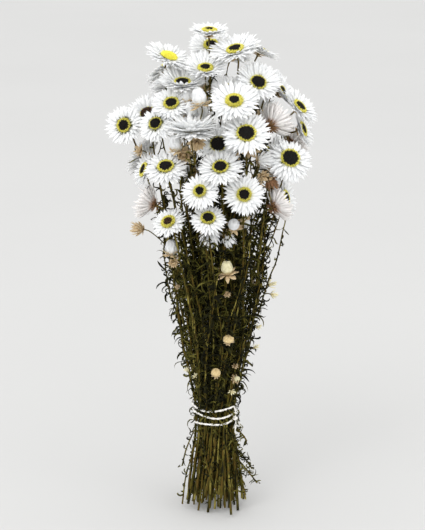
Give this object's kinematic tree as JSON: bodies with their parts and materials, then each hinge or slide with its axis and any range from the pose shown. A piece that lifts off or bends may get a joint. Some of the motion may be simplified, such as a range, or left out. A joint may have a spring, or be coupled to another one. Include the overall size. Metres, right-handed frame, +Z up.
{
  "type": "bunch of dried daisies",
  "caption": "Tied bunch of dried white everlasting daisies with dark discs, thin leafy stems and buds, standing on its splayed cut ends, bound low down with fluffy string.",
  "frame": {"origin": "on the surface that the bunch stands on, under the middle of its box", "axes": "+Z up along the stems, -Y towards the side that the picture shows, +X to that viewer's right"},
  "size_m": [0.2154, 0.1988, 0.5258],
  "materials": {
    "petals": "dry papery petals, matt with a faint silky sheen",
    "stems_and_leaves": "dry olive-brown stems and leaves with near-black velvety discs",
    "string": "fluffy white wool string"
  },
  "bodies": {
    "root": {"leafy_stems_01": "stems_and_leaves", "leafy_stems_02": "stems_and_leaves", "leafy_stems_03": "stems_and_leaves", "leafy_stems_04": "stems_and_leaves", "leafy_stems_05": "stems_and_leaves", "leafy_stems_06": "stems_and_leaves", "leafy_stems_07": "stems_and_leaves", "leafy_stems_08": "stems_and_leaves", "leafy_stems_09": "stems_and_leaves", "leafy_stems_10": "stems_and_leaves", "leafy_stems_11": "stems_and_leaves", "leafy_stems_12": "stems_and_leaves", "petals_01_1": "petals", "petals_01_2": "petals", "petals_01_3": "petals", "petals_02_1": "petals", "petals_02_2": "petals", "petals_02_3": "petals", "petals_02_4": "petals", "petals_03_1": "petals", "petals_03_2": "petals", "petals_03_3": "petals", "petals_03_4": "petals", "petals_04_1": "petals", "petals_04_2": "petals", "petals_04_3": "petals", "petals_04_4": "petals", "petals_05_1": "petals", "petals_05_2": "petals", "petals_05_3": "petals", "petals_06_1": "petals", "petals_06_2": "petals", "petals_06_3": "petals", "petals_06_4": "petals", "petals_07_1": "petals", "petals_07_2": "petals", "petals_07_3": "petals", "petals_07_4": "petals", "petals_08_1": "petals", "petals_08_2": "petals", "petals_08_3": "petals", "petals_08_4": "petals", "petals_09_1": "petals", "petals_09_2": "petals", "petals_09_3": "petals", "petals_09_4": "petals", "petals_10_1": "petals", "petals_10_2": "petals", "petals_10_3": "petals", "petals_10_4": "petals", "petals_11_1": "petals", "petals_11_2": "petals", "petals_11_3": "petals", "petals_11_4": "petals", "petals_12_1": "petals", "petals_12_2": "petals", "petals_12_3": "petals", "petals_12_4": "petals", "tie_string": "string"}
  },
  "joints": []
}
